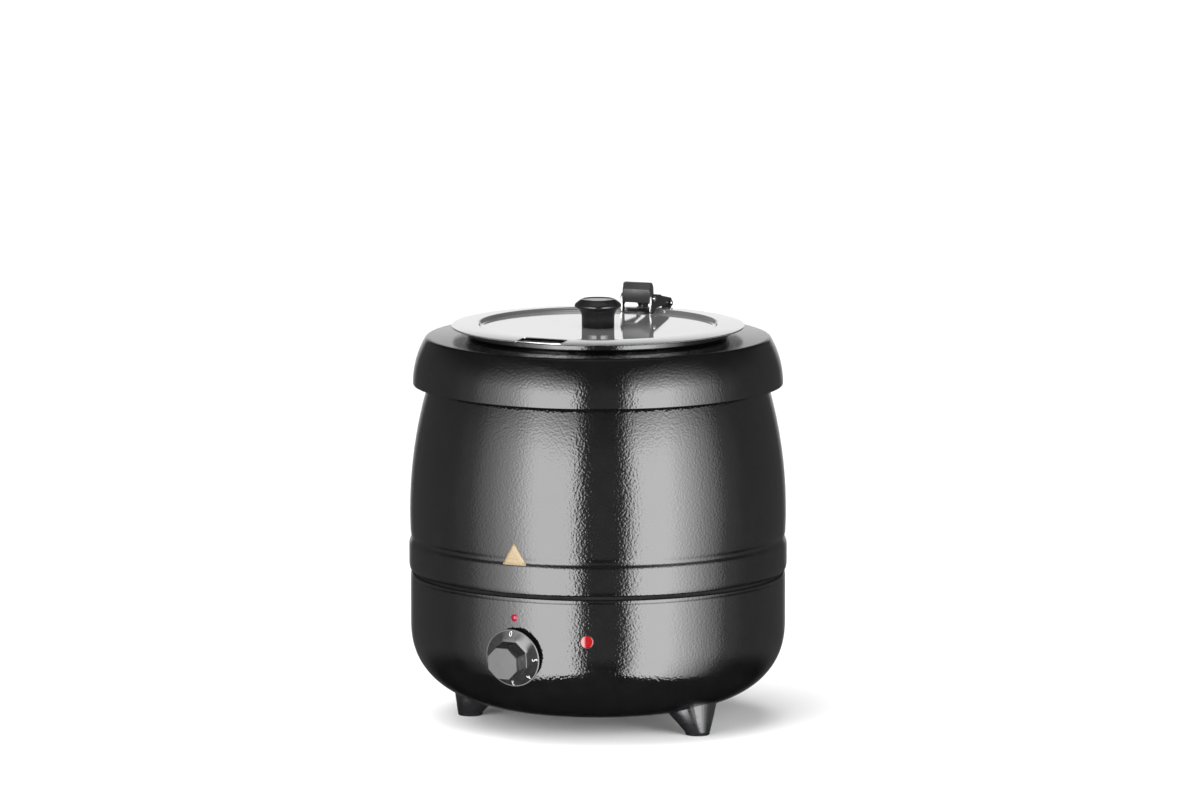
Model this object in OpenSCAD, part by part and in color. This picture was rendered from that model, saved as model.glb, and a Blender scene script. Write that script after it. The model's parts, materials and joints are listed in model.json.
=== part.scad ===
// Round wet-heat soup kettle with a lift-out pot, a hinged lid and a heat dial.
// Millimetres. Z is up, the floor is z = 0, the kettle's axis is the Z axis.
// The dial is at the front (-Y) and the lid's hinge is at the back (+Y).

/* [Outer casing] */
// Radius of the base pan's upright wall
base_r = 171.1; // [170:0.1:171.5]
// Height of the base pan's upper edge
base_top = 138.4; // [138:0.1:138.8]
// Height of the base pan's floor above the ground
base_floor = 17.1; // [16.5:0.1:18]
// Squareness of the base pan's bowl, 2 is an ellipse
bowl_power = 2.3; // [2.1:0.05:2.5]
// Radius of the raised band round the barrel's foot
band_r = 172.5; // [172.2:0.1:173]
// Largest radius of the barrel above the band
barrel_r = 171.6; // [171:0.1:172]
// Radius of the barrel's side curve
barrel_curve = 410; // [400:5:420]
// Radius of the top ring's skirt
skirt_r = 168.7; // [168:0.1:169.5]
// Height of the skirt's lower edge
skirt_bottom = 311.6; // [310:0.1:313]
// Thickness of the painted sheet steel
sheet_t = 0.8; // [0.7:0.05:1]

/* [Pot and tank] */
// Outer radius of the neck that the pot hangs in
neck_r = 118.1; // [118:0.1:118.3]
// Outer radius of the inner pot
pot_r = 113.4; // [112.5:0.1:114]
// Angle that the pot is set down at, about the upright axis
pot_turn = 5; // [-180:1:180]
// Height of the pot's bottom
pot_bottom = 109; // [106:1:115]
// Outer radius of the water tank
tank_r = 128; // [127:0.5:129]
// Height of the water tank's bottom
tank_bottom = 91; // [91:0.5:93]
// Thickness of the stainless sheet
steel_t = 0.6; // [0.5:0.05:0.7]

/* [Lid] */
// Outer radius of the lid
lid_r = 133.5; // [132:0.1:134]
// Radius of the lid's flat middle
panel_r = 105; // [105:0.1:106]
// Width of the notch for a ladle
notch_w = 44; // [36:1:50]
// Angle of the notch from straight opposite the hinge
notch_turn = -3.2; // [-6:0.1:6]
// Radius of the knob's broad top
knob_r = 21.6; // [20:0.1:23]
// Height of the knob above the lid's middle
knob_h = 25.6; // [24.5:0.1:27]

/* [Hinge] */
// Distance from the axis to the hinge pin
hinge_y = 147; // [146.5:0.1:147.5]
// Height of the hinge pin
hinge_z = 367; // [366.8:0.1:367.3]
// Radius of the hinge pin and of the lever's pin
pin_r = 2; // [1.8:0.1:2.1]
// Width between the lid bracket's two cheeks
cheek_gap = 27.2; // [26:0.1:28]

/* [Controls] */
// Height of the dial's axis where it meets the casing
dial_z = 84.4; // [83:0.1:86]
// Downward tilt of the dial's axis in degrees
dial_tilt = 6; // [4:0.5:8]
// Radius of the dial's skirt
dial_r = 26.5; // [25:0.1:27]
// Length of the dial
dial_h = 22.1; // [21.5:0.1:24]
// Angle of the pilot lamp round the casing from the front
lamp_turn = 22.7; // [21:0.1:26]
// Height of the pilot lamp
lamp_z = 101; // [98:0.5:106]

/* [Feet] */
// Distance of each foot from the axis
foot_at = 119.5; // [118.5:0.5:121]
// Radius of a foot's sole
foot_r = 11.25; // [10.5:0.25:12]
// Angle of the two front feet from the front
foot_turn = 75; // [68:1:78]

/* [Hidden] */
$fn = 96;
eps = 0.01;

// Colours of the materials
black_powder = [0.05, 0.05, 0.055];
steel = [0.78, 0.78, 0.78];
zinc = [0.6, 0.6, 0.58];
phenolic = [0.03, 0.03, 0.03];

// Bowl of the base pan
bowl_a = 101.9;
bowl_z = 92.5;
bowl_b = bowl_z - base_floor;
cover_hole_r = 42;

// Barrel: its side is one arc, and a band and a crease run round its foot
barrel_foot = 141.6;
barrel_mid = 195;
barrel_top = 345;
barrel_centre = barrel_r - barrel_curve;

// Top ring: a skirt that curves in to a nearly flat top, and the neck
skirt_curve = 81;
skirt_turn = 30.4;
top_edge_r = 153.5;
top_edge_z = 354.7;
neck_foot_z = 356.2;
neck_top = 363.2;

// Lid
panel_z = 362.7;
crest_z = 366.2;
crest_r = 111;

// Hinge and lever
cheek_t = 1.5;
web_t = 1.2;
cheek_out = cheek_gap / 2 + cheek_t;
bracket_front = 97;
web_end = 103.8;
rivet_r = 1.5;
rivet_y = (bracket_front + web_end) / 2;
lever_y = 103.5;
lever_z = 376.2;
lever_w = cheek_gap - 0.6;
running = 0.06;
clamp_w = 21;
clamp_z = 358.2;
clamp_t = 2;
bead_r = 1.3;
bead_at = [120.1, neck_top + steel_t - bead_r];

// Dial
dial_gap = 2.5;
shaft_r = 3;
dial_rim = 1.5;
dial_cone_h = 6.1;

// Tie rods that hold tank, casing and feet together
rod_at = 118;
rod_r = 2.5;
rod_turns = [-foot_turn, foot_turn, 180];
stud_r = 4;
lamp_r = 6.1;
gland_z = 100;

// ---- Outlines ----

function unit(v) = v / norm(v);
function left_of(a, b) = let (d = unit(b - a)) [-d.y, d.x];
function corner(a, b, c, t) =
    let (n = left_of(a, b), m = unit(n + left_of(b, c))) b + m * t / (m * n);
function inset(path, t) = [
    for (i = [0:len(path) - 1])
        i == 0 ? path[0] + t * left_of(path[0], path[1])
        : i == len(path) - 1 ? path[i] + t * left_of(path[i - 1], path[i])
        : corner(path[i - 1], path[i], path[i + 1], t)
];
function bend(a, b, c, n = 5) = [
    for (i = [0:n]) let (u = i / n) (1 - u) * (1 - u) * a + 2 * u * (1 - u) * b + u * u * c
];
function reversed(list) = [for (i = [len(list) - 1:-1:0]) list[i]];

// Sheet metal of even thickness, turned about the axis. The path is its outer face.
module spun(path, t) {
    rotate_extrude()
        polygon(concat(path, reversed(inset(path, t))));
}

// Outer face of the bowl at angle t, from the floor (90) to the wall (0)
function bowl_point(t) = [
    base_r - bowl_a + bowl_a * pow(cos(t), 2 / bowl_power),
    bowl_z - bowl_b * pow(sin(t), 2 / bowl_power)
];
bowl_steps = 28;
bowl = [for (i = [0:bowl_steps]) bowl_point(90 - 90 * i / bowl_steps)];
function barrel_at(z) =
    barrel_centre + sqrt(barrel_curve * barrel_curve - (z - barrel_mid) * (z - barrel_mid));

// Underside of the top ring's flat part
function ring_top(r) =
    top_edge_z + (top_edge_r - r) * (neck_foot_z - top_edge_z) / (top_edge_r - neck_r);
function ring_under(r) = ring_top(r) - sheet_t - 0.02;

// Tube of even radius swept along points, with mitred rings
module tube_along(points, r, sides = 8) {
    last = len(points) - 1;
    function heading(i) = unit(points[min(i + 1, last)] - points[max(i - 1, 0)]);
    function across(d) = unit(cross(d, abs(d.z) < 0.9 ? [0, 0, 1] : [1, 0, 0]));
    rings = [
        for (i = [0:last])
            let (d = heading(i), u = across(d), v = cross(d, u))
                for (k = [0:sides - 1])
                    points[i] + r * (cos(360 * k / sides) * u + sin(360 * k / sides) * v)
    ];
    walls = [
        for (i = [0:last - 1])
            for (k = [0:sides - 1])
                let (a = i * sides + k, b = i * sides + (k + 1) % sides)
                    [a, b, b + sides, a + sides]
    ];
    first_cap = [for (k = [sides - 1:-1:0]) k];
    last_cap = [for (k = [0:sides - 1]) last * sides + k];
    polyhedron(points = rings, faces = concat([first_cap], [last_cap], walls));
}

// Smooth route through hand-set points
function route(p, n = 4) = concat(
    [
        for (i = [0:len(p) - 2])
            let (a = p[max(i - 1, 0)], b = p[i], c = p[i + 1], d = p[min(i + 2, len(p) - 1)])
                for (k = [0:n - 1])
                    let (u = k / n)
                        0.5 * (2 * b + (c - a) * u + (2 * a - 5 * b + 4 * c - d) * u * u
                            + (3 * b - a - 3 * c + d) * u * u * u)
    ],
    [p[len(p) - 1]]
);

// ---- Places ----

// Casing face at the dial, with local Z along the dial's axis
module at_dial() {
    translate([0, -base_r, dial_z])
        rotate([90 + dial_tilt, 0, 0])
            children();
}

// Upright casing face at an angle from the front, with local Z pointing out
module at_wall(turn, z) {
    rotate([0, 0, turn])
        translate([0, -base_r, z])
            rotate([90, 0, 0])
                children();
}

// The pot, and the lid with it, at the angle that it is set down at
module at_pot() {
    rotate([0, 0, pot_turn])
        children();
}

module at_rods() {
    for (turn = rod_turns)
        rotate([0, 0, turn])
            translate([0, -rod_at, 0])
                children();
}

module along_x(y, z, from, to, r) {
    translate([from, y, z])
        rotate([0, 90, 0])
            cylinder(h = to - from, r = r);
}

module hexagon(r, h) {
    cylinder(h = h, r = r, $fn = 6);
}

// Everything inside the casing's wall at the level of the controls
module inside_wall(r) {
    translate([0, 0, 20])
        cylinder(h = 160, r = r, $fn = 180);
}

// ---- Casing ----

module base_pan() {
    screw_r = 1.6;
    path = concat(
        [[cover_hole_r, base_floor]],
        bowl,
        [[base_r, base_top - 4], [base_r - 0.4, base_top - 3.6], [base_r - 0.1, base_top - 3.1]],
        bend([base_r - 0.1, base_top - 1.2], [base_r - 0.1, base_top - 0.1], [base_r - 1, base_top])
    );
    color(black_powder)
        difference() {
            spun(path, sheet_t);
            at_dial() {
                translate([0, 0, -12])
                    cylinder(h = 20, r = 5.5);
                for (x = [-14, 14])
                    translate([x, 0, -12])
                        cylinder(h = 20, r = 2.05);
            }
            at_wall(lamp_turn, lamp_z)
                translate([0, 0, -5])
                    cylinder(h = 10, r = 5);
            at_wall(180, gland_z)
                translate([0, 0, -5])
                    cylinder(h = 10, r = 8);
            at_rods()
                translate([0, 0, 5])
                    cylinder(h = 40, r = rod_r + 0.1);
            for (turn = [45:90:315])
                rotate([0, 0, turn])
                    translate([cover_hole_r + 4, 0, 5])
                        cylinder(h = 20, r = screw_r);
            translate([34, 52, 5])
                cylinder(h = 20, r = 2.05);
        }
}

// Outer face of the barrel, from its foot over the band and the crease up the side
side_from = 176;
side_steps = 30;
barrel_band = concat(
    bend([base_r - 0.2, barrel_foot], [band_r, barrel_foot + 0.4], [band_r, barrel_foot + 8], 6),
    [[band_r, 162.5]]
);
barrel_crease = concat(
    bend([band_r, 163.5], [band_r, 166.5], [band_r - 1.1, 168.4]),
    bend([band_r - 1.6, 169.4], [band_r - 2.6, 171.2], [barrel_at(174.5) - 0.1, 174.5])
);
barrel_side = [
    for (i = [0:side_steps])
        let (z = side_from + (barrel_top - side_from) * i / side_steps) [barrel_at(z), z]
];

module barrel_shell() {
    path = concat(
        barrel_band,
        barrel_crease,
        barrel_side,
        bend([142, 349.5], [140.2, ring_under(140.2)], [138.5, ring_under(138.5)]),
        [[134, ring_under(134)]]
    );
    color(black_powder)
        spun(path, sheet_t);
}

module seam_ring() {
    seam_out = base_r - sheet_t - 0.7;
    color(black_powder)
        difference() {
            translate([0, 0, 128])
                cylinder(h = 30, r = seam_out, $fn = 180);
            translate([0, 0, 127])
                cylinder(h = 32, r = seam_out - 1, $fn = 180);
        }
}

module top_ring() {
    arc_steps = 20;
    arc_centre = skirt_r - skirt_curve;
    skirt_end = [
        arc_centre + skirt_curve * cos(skirt_turn),
        skirt_bottom + 0.4 + skirt_curve * sin(skirt_turn)
    ];
    path = concat(
        [[skirt_r, skirt_bottom]],
        [
            for (i = [0:arc_steps - 1])
                let (a = skirt_turn * i / arc_steps)
                    [
                        arc_centre + skirt_curve * cos(a),
                        skirt_bottom + 0.4 + skirt_curve * sin(a)
                    ]
        ],
        bend(skirt_end, [156.3, top_edge_z - 0.2], [top_edge_r, top_edge_z]),
        bend([neck_r + 2, ring_top(neck_r + 2)], [neck_r, neck_foot_z], [neck_r, neck_foot_z + 2]),
        [[neck_r, neck_top]]
    );
    color(black_powder)
        spun(path, sheet_t);
}

// A thin film that follows the barrel's face over the crease
module heat_patch() {
    patch_w = 23.5;
    patch_z = 168;
    patch_h = 19.8;
    round_r = 0.8;
    film = [0.02, 0.3];
    top_z = 190;
    face = concat(barrel_crease, [for (p = barrel_side) if (p.y < top_z) p]);
    color([0.95, 0.62, 0.08])
        intersection() {
            rotate_extrude()
                polygon(concat(inset(face, -film[0]), reversed(inset(face, -film[1]))));
            translate([0, -barrel_r + 10, patch_z])
                rotate([90, 0, 0])
                    linear_extrude(height = 20)
                        hull()
                            for (p = [
                                [-patch_w / 2 + 1.4 * round_r, round_r],
                                [patch_w / 2 - 1.4 * round_r, round_r],
                                [0, patch_h - 1.8 * round_r]
                            ])
                                translate(p)
                                    circle(r = round_r, $fn = 24);
        }
}

module dial_marker() {
    color([0.75, 0.05, 0.04])
        intersection() {
            at_wall(0, 120)
                translate([0, 0, -3])
                    cylinder(h = 6, r = 3.25);
            difference() {
                inside_wall(base_r + 0.3);
                inside_wall(base_r);
            }
        }
}

// ---- Water tank and heater ----

module water_tank() {
    flange_r = 132.6;
    path = concat(
        [[0, tank_bottom]],
        bend([tank_r - 4, tank_bottom], [tank_r, tank_bottom], [tank_r, tank_bottom + 4]),
        [
            [tank_r, ring_under(tank_r) - steel_t],
            [flange_r, ring_under(flange_r) - steel_t]
        ]
    );
    color(steel) {
        spun(path, steel_t);
        translate([0, 0, 60])
            cylinder(h = tank_bottom - 60, r = stud_r);
    }
}

plate_t = 3;
element_r = 3.6;
element_z = tank_bottom - plate_t - element_r;
element_at = 68;
clamp_top = element_z - element_r;

module heat_plate() {
    color([0.72, 0.73, 0.75])
        difference() {
            translate([0, 0, tank_bottom - plate_t])
                cylinder(h = plate_t, r = 84);
            translate([0, 0, tank_bottom - plate_t - 1])
                cylinder(h = plate_t + 2, r = stud_r + 0.3);
        }
}

// An open ring; its two cold ends come out at the back, side by side
module heating_element() {
    open_half = 14;
    end_x = element_at * sin(open_half);
    end_w = 8;
    end_from = 60;
    end_to = 92;
    color([0.35, 0.35, 0.34]) {
        rotate([0, 0, 90 + open_half])
            rotate_extrude(angle = 360 - 2 * open_half)
                translate([element_at, element_z])
                    circle(r = element_r, $fn = 24);
        for (side = [-1, 1]) {
            translate([side * end_x - end_w / 2, end_from, element_z - element_r + 0.2])
                cube([end_w, end_to - end_from, 2 * element_r - 0.4]);
            translate([side * end_x, end_to - 1, element_z])
                rotate([-90, 0, 0])
                    cylinder(h = 13, r = 1.2, $fn = 24);
        }
    }
}

module element_clamp() {
    plate = 1.5;
    color(zinc)
        difference() {
            translate([0, 0, clamp_top - plate])
                cylinder(h = plate, r = 78);
            translate([0, 0, clamp_top - 5])
                cylinder(h = 10, r = stud_r + 0.3);
            for (turn = [0:60:300])
                rotate([0, 0, turn])
                    translate([36, 0, clamp_top - 5])
                        cylinder(h = 10, r = 10);
        }
}

shield_z = 67;

module heat_shield() {
    path = concat(
        [[stud_r + 0.3, shield_z]],
        bend([88, shield_z], [92, shield_z], [94, shield_z + 4])
    );
    color([0.75, 0.75, 0.76])
        spun(path, steel_t);
}

module stud_nuts() {
    color(zinc)
        for (z = [clamp_top - 1.5 - 5, shield_z - 5, shield_z + steel_t])
            translate([0, 0, z])
                difference() {
                    hexagon(8, z > shield_z + 2 ? 5 : z > shield_z ? 4 : 5);
                    translate([0, 0, -1])
                        cylinder(h = 8, r = stud_r);
                }
}

// ---- Feet and underside ----

foot_pad_t = 3;
nut_pocket_r = 6.2;
nut_pocket_top = 9;

module tie_rods() {
    color(zinc)
        at_rods() {
            translate([0, 0, nut_pocket_top - 5])
                cylinder(h = tank_bottom - nut_pocket_top + 5, r = rod_r);
            translate([0, 0, tank_bottom - 3])
                cylinder(h = 3, r = 5);
        }
}

module tie_nuts() {
    color(zinc)
        at_rods()
            translate([0, 0, nut_pocket_top - 4])
                difference() {
                    hexagon(5, 4);
                    translate([0, 0, -1])
                        cylinder(h = 6, r = rod_r);
                }
}

// A foot leans in under the bowl: steep outside, sloping inside
module foot(turn) {
    top_z = 32;
    lean = 13.2;
    top_r = 28.5;
    color(black_powder)
        rotate([0, 0, turn])
            difference() {
                hull() {
                    translate([0, -foot_at, foot_pad_t])
                        cylinder(h = 1, r = foot_r + 0.4, $fn = 48);
                    translate([0, -foot_at + lean, top_z])
                        cylinder(h = 1, r = top_r, $fn = 48);
                }
                rotate_extrude()
                    polygon(concat([[0, base_floor]], bowl, [[0, bowl_z]]));
                translate([0, -rod_at, -1])
                    cylinder(h = nut_pocket_top + 1, r = nut_pocket_r);
                translate([0, -rod_at, 0])
                    cylinder(h = 40, r = rod_r + 0.1);
            }
}

module foot_left() {
    foot(-foot_turn);
}

module foot_right() {
    foot(foot_turn);
}

module foot_rear() {
    foot(180);
}

module foot_pads() {
    color([0.07, 0.07, 0.07])
        for (turn = rod_turns)
            rotate([0, 0, turn])
                translate([0, -foot_at, 0])
                    rotate_extrude()
                        polygon([
                            [0, 0], [foot_r - 0.6, 0], [foot_r, 0.6], [foot_r, foot_pad_t],
                            [0, foot_pad_t]
                        ]);
}

cover_r = cover_hole_r + 8;
cover_t = 1;

module base_cover() {
    color(black_powder)
        difference() {
            translate([0, 0, base_floor - cover_t])
                cylinder(h = cover_t, r = cover_r);
            for (turn = [45:90:315])
                rotate([0, 0, turn])
                    translate([cover_hole_r + 4, 0, 10])
                        cylinder(h = 10, r = 1.6);
            for (turn = [0:30:330])
                rotate([0, 0, turn])
                    translate([18, -1.5, 10])
                        cube([16, 3, 10]);
        }
}

module cover_screws() {
    color(zinc)
        for (turn = [45:90:315])
            rotate([0, 0, turn])
                translate([cover_hole_r + 4, 0, 0]) {
                    translate([0, 0, base_floor - cover_t])
                        cylinder(h = 9, r = 1.55);
                    translate([0, 0, base_floor - cover_t - 1.8])
                        cylinder(h = 1.8, r1 = 2.2, r2 = 3.2);
                }
}

// ---- Electrics ----

box_front = -6;
box_back = -30;
box_w = 34;

module thermostat() {
    color([0.82, 0.8, 0.74])
        at_dial()
            difference() {
                union() {
                    translate([-box_w / 2, -box_w / 2, box_back])
                        cube([box_w, box_w, box_front - box_back]);
                    translate([0, 0, box_front - eps])
                        cylinder(h = -1 - box_front, r = 4.9);
                    for (x = [-14, 14])
                        translate([x, 0, box_front - eps])
                            cylinder(h = 3.2, r = 3.6);
                }
                translate([0, 0, box_back + 6])
                    cylinder(h = 40, r = shaft_r + running);
                for (x = [-14, 14])
                    translate([x, 0, box_front - 8])
                        cylinder(h = 20, r = 2);
            }
}

module thermostat_screws() {
    color(zinc)
        at_dial()
            for (x = [-14, 14])
                translate([x, 0, 0]) {
                    translate([0, 0, box_front - 6])
                        cylinder(h = 6.2 - box_front, r = 2);
                    translate([0, 0, 0.2])
                        cylinder(h = 1.4, r1 = 3.4, r2 = 2.6);
                }
}

bulb_y = -104;
bulb_r = 3;
bulb_half = 35;
bulb_z = tank_bottom - bulb_r - 0.8;

module sensor_bulb() {
    color([0.72, 0.45, 0.3])
        along_x(bulb_y, bulb_z, -bulb_half, bulb_half, bulb_r);
}

module bulb_clips() {
    strap = 0.8;
    color(zinc)
        for (x = [-22, 22])
            difference() {
                union() {
                    along_x(bulb_y, bulb_z, x - 4, x + 4, bulb_r + strap);
                    translate([x - 4, bulb_y - 8, tank_bottom - 1])
                        cube([8, 16, 1]);
                }
                along_x(bulb_y, bulb_z, x - 5, x + 5, bulb_r);
                translate([x - 6, bulb_y - 10, tank_bottom])
                    cube([12, 20, 10]);
            }
}

module capillary_tube() {
    points = [
        [36, bulb_y, bulb_z], [46, bulb_y, bulb_z], [56, -110, 84], [54, -124, 78],
        [40, -130, 72], [26, -131, 72], [14, -133, 76], [8, -137, 80], [8, -140.2, 81]
    ];
    color([0.72, 0.45, 0.3])
        tube_along(route(points, 5), 0.8, 8);
}

module thermal_cutout() {
    color([0.15, 0.15, 0.16])
        translate([-78, -60, 0]) {
            translate([0, 0, tank_bottom - 2])
                cylinder(h = 2, r = 11);
            translate([0, 0, tank_bottom - 12])
                cylinder(h = 10, r = 8);
            for (x = [-4, 4])
                translate([x - 0.4, -2.5, tank_bottom - 19])
                    cube([0.8, 5, 7]);
        }
}

terminal_y = 53;
floor_in = base_floor + sheet_t;

module terminal_block() {
    color([0.85, 0.83, 0.78])
        translate([-20, terminal_y, floor_in])
            difference() {
                cube([36, 13, 13]);
                for (i = [0:2])
                    translate([6 + 12 * i, 6.5, 5])
                        cylinder(h = 10, r = 2.6);
            }
}

module earth_stud() {
    color([0.8, 0.66, 0.3])
        translate([34, 52, 0]) {
            translate([0, 0, base_floor - 1.4])
                cylinder(h = 18, r = 2);
            translate([0, 0, base_floor - 1.4])
                cylinder(h = 1.4, r = 4);
            translate([0, 0, floor_in])
                hexagon(4, 3.2);
        }
}

// Insulated leads, each between the faces of the two things that it joins
module wiring() {
    mains = [
        [-6, 158, 100], [-6, 150, 99], [-10, 132, 84], [-12, 110, 58], [-14, 84, 36],
        [-14, 72, 26], [-14, 66.5, 25]
    ];
    neutral = [
        [6, 158, 100], [6, 150, 99], [8, 136, 82], [6, 114, 54], [0, 84, 34], [-2, 72, 26], [-2, 66.5, 25]
    ];
    earth = [
        [0, 158, 103], [2, 150, 103], [16, 134, 88], [26, 112, 56], [33, 84, 34], [34, 66, 26], [34, 57, 22]
    ];
    supply = [
        [-14, 52.5, 25], [-14, 46, 27], [-30, 20, 34], [-40, -40, 40], [-30, -100, 52], [-12, -126, 62],
        [-10, -133, 70], [-10, -138.2, 74]
    ];
    heater = [
        [16.5, 104.4, 84.4], [17, 109, 84], [20, 116, 82], [60, 110, 62], [104, 40, 54],
        [96, -60, 50], [40, -118, 54], [10, -130, 66], [4, -138.2, 72]
    ];
    guard = [
        [-16.5, 104.4, 84.4], [-17, 109, 84], [-22, 116, 82], [-66, 100, 70], [-104, 20, 62],
        [-100, -34, 58], [-88, -56, 60], [-82, -60, 65], [-82, -60, 71]
    ];
    guarded = [
        [-74, -60, 71], [-74, -60, 65], [-66, -50, 56], [-50, -20, 46], [-20, 20, 44], [-2, 42, 30],
        [-2, 47, 26], [-2, 52.5, 25]
    ];
    lamp_end = 137.7 * [sin(lamp_turn), -cos(lamp_turn), 0];
    lamp_a = [
        lamp_end + [0, 0, 103], [50.5, -122.5, 97], [45, -120, 87], [34, -118, 78], [24, -124, 66],
        [16, -132, 66], [12, -138.2, 68]
    ];
    lamp_b = [
        lamp_end + [0, 0, 99], [57, -122, 94], [64, -113, 82], [66, -80, 58], [48, 0, 46], [20, 40, 34],
        [10, 46, 27], [10, 52.5, 25]
    ];
    routes = [mains, neutral, earth, supply, heater, guard, guarded, lamp_a, lamp_b];
    tints = ["saddlebrown", "royalblue", "yellowgreen", "saddlebrown", "firebrick", "royalblue", "royalblue",
        "firebrick", "royalblue"];
    for (i = [0:len(routes) - 1])
        color(tints[i])
            tube_along(route(routes[i]), 1.2, 6);
}

module cable_gland() {
    bore_r = 4;
    color([0.08, 0.08, 0.08])
        at_wall(180, gland_z)
            difference() {
                union() {
                    translate([0, 0, -12])
                        cylinder(h = 12.5, r = 7.9);
                    cylinder(h = 2.4, r = 11);
                    translate([0, 0, 2])
                        cylinder(h = 7.2, r = 9.5);
                    translate([0, 0, 9])
                        cylinder(h = 5, r1 = 9, r2 = 6.2);
                }
                translate([0, 0, -13])
                    cylinder(h = 40, r = bore_r);
            }
}

module gland_nut() {
    color([0.08, 0.08, 0.08])
        at_wall(180, gland_z)
            translate([0, 0, -6])
                difference() {
                    hexagon(11.5, 4.2);
                    translate([0, 0, -1])
                        cylinder(h = 8, r = 7.9);
                }
}

lens_r = 5.6;
seat_t = 0.8;
stem_r = 4.65;

module lamp_bezel() {
    lip_h = 1.35;
    color([0.08, 0.08, 0.08])
        at_wall(lamp_turn, lamp_z)
            rotate_extrude()
                polygon([
                    [stem_r + 0.05, 0], [lamp_r, 0], [lamp_r, lip_h - 0.25], [lamp_r - 0.2, lip_h],
                    [lens_r + 0.05, lip_h], [lens_r + 0.05, seat_t], [stem_r + 0.05, seat_t]
                ]);
}

module lamp_lens() {
    edge_h = 1.9;
    color([0.85, 0.08, 0.05])
        at_wall(lamp_turn, lamp_z)
            rotate_extrude()
                polygon(concat(
                    [[0, -1.2], [stem_r, -1.2], [stem_r, seat_t], [lens_r, seat_t], [lens_r, edge_h]],
                    bend([lens_r - 0.25, edge_h + 0.22], [2.6, edge_h + 0.6], [0, edge_h + 0.6], 6)
                ));
}

module lamp_body() {
    color([0.85, 0.84, 0.8])
        at_wall(lamp_turn, lamp_z) {
            translate([0, 0, -26])
                cylinder(h = 24.7, r = 4.6);
            for (y = [-2, 2])
                translate([-1.5, y - 0.3, -32])
                    cube([3, 0.6, 6 + eps]);
        }
}

module lamp_clip() {
    color(zinc)
        at_wall(lamp_turn, lamp_z)
            translate([0, 0, -3])
                difference() {
                    cylinder(h = 1, r = 8);
                    translate([0, 0, -1])
                        cylinder(h = 4, r = 4.6);
                }
}

// ---- Dial ----

module dial() {
    rim_z = dial_gap + dial_rim;
    grip_z = dial_gap + dial_cone_h;
    color(phenolic)
        at_dial()
            difference() {
                union() {
                    rotate_extrude()
                        polygon([
                            [0, dial_gap], [dial_r - 0.4, dial_gap], [dial_r, dial_gap + 0.4],
                            [dial_r, rim_z - 0.3], [dial_r - 0.4, rim_z], [0, rim_z]
                        ]);
                    hull() {
                        translate([0, 0, rim_z - 0.1])
                            cylinder(h = 0.4, r = dial_r - 1.2, $fn = 64);
                        translate([0, 0, grip_z - 0.1])
                            rotate([0, 0, 22.5])
                                cylinder(h = 0.1, r = 17.5, $fn = 8);
                    }
                    translate([0, 0, grip_z - 0.5])
                        rotate([0, 0, 22.5])
                            cylinder(h = dial_h - dial_cone_h + 0.5, r1 = 17.3, r2 = 15.9, $fn = 8);
                }
                translate([0, 0, -1])
                    cylinder(h = 22, r = shaft_r);
                translate([0, 0, -1])
                    cylinder(h = 6, r = 9);
            }
}

module thermostat_shaft() {
    color(zinc)
        at_dial()
            translate([0, 0, box_back + 7])
                cylinder(h = 20.8 - box_back - 7, r = shaft_r);
}

module dial_clip() {
    color(zinc)
        at_dial()
            translate([0, 0, 3.2])
                difference() {
                    cylinder(h = 1.2, r = 6);
                    translate([0, 0, -1])
                        cylinder(h = 4, r = shaft_r);
                }
}

// ---- Pot ----

module pot_bead() {
    rotate_extrude()
        translate(bead_at)
            circle(r = bead_r, $fn = 32);
}

module inner_pot() {
    corner_r = 16;
    path = concat(
        [[0, pot_bottom]],
        bend([pot_r - corner_r, pot_bottom], [pot_r, pot_bottom], [pot_r, pot_bottom + corner_r], 8),
        bend([pot_r, neck_top - 2], [pot_r, neck_top], [pot_r + 2, neck_top]),
        [[bead_at.x, neck_top]]
    );
    color(steel) {
        spun(path, steel_t);
        pot_bead();
    }
}

module ear_outline(r) {
    hull() {
        translate([hinge_y, hinge_z])
            circle(r = r, $fn = 48);
        translate([hinge_y - 6, clamp_z])
            square([11, clamp_t]);
    }
}

// Runs from under the pot's rim to the hinge pin, below the lid's edge
module hinge_clamp() {
    ear_t = 2;
    reach = hinge_y + 5;
    color([0.06, 0.06, 0.06])
        difference() {
            union() {
                intersection() {
                    translate([-clamp_w / 2, 100, clamp_z])
                        cube([clamp_w, reach - 100, clamp_t]);
                    difference() {
                        cylinder(h = 400, r = 200);
                        translate([0, 0, -1])
                            cylinder(h = 402, r = neck_r + 0.7);
                    }
                }
                intersection() {
                    translate([-clamp_w / 2, 100, clamp_z])
                        cube([clamp_w, 40, bead_at.y - clamp_z]);
                    difference() {
                        cylinder(h = 400, r = 124);
                        translate([0, 0, -1])
                            cylinder(h = 402, r = neck_r + 0.7);
                    }
                }
                for (x = [-clamp_w / 2, clamp_w / 2 - ear_t])
                    translate([x, 0, 0])
                        rotate([90, 0, 90])
                            linear_extrude(height = ear_t)
                                ear_outline(4.5);
            }
            pot_bead();
            along_x(hinge_y, hinge_z, -20, 20, pin_r);
        }
}

module domed_pin(y, z, half, head_r, head_h) {
    along_x(y, z, -half, half, pin_r);
    for (side = [0, 180])
        translate([0, y, z])
            rotate([0, 0, side])
                rotate([0, 90, 0])
                    translate([0, 0, half])
                        rotate_extrude()
                            polygon(concat(
                                [[0, 0], [head_r, 0]],
                                bend([head_r, head_h * 0.3], [head_r, head_h], [0, head_h], 6)
                            ));
}

module hinge_pin() {
    color(zinc)
        domed_pin(hinge_y, hinge_z, cheek_out + 0.3, 2.6, 2.2);
}

// ---- Lid ----

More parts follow.
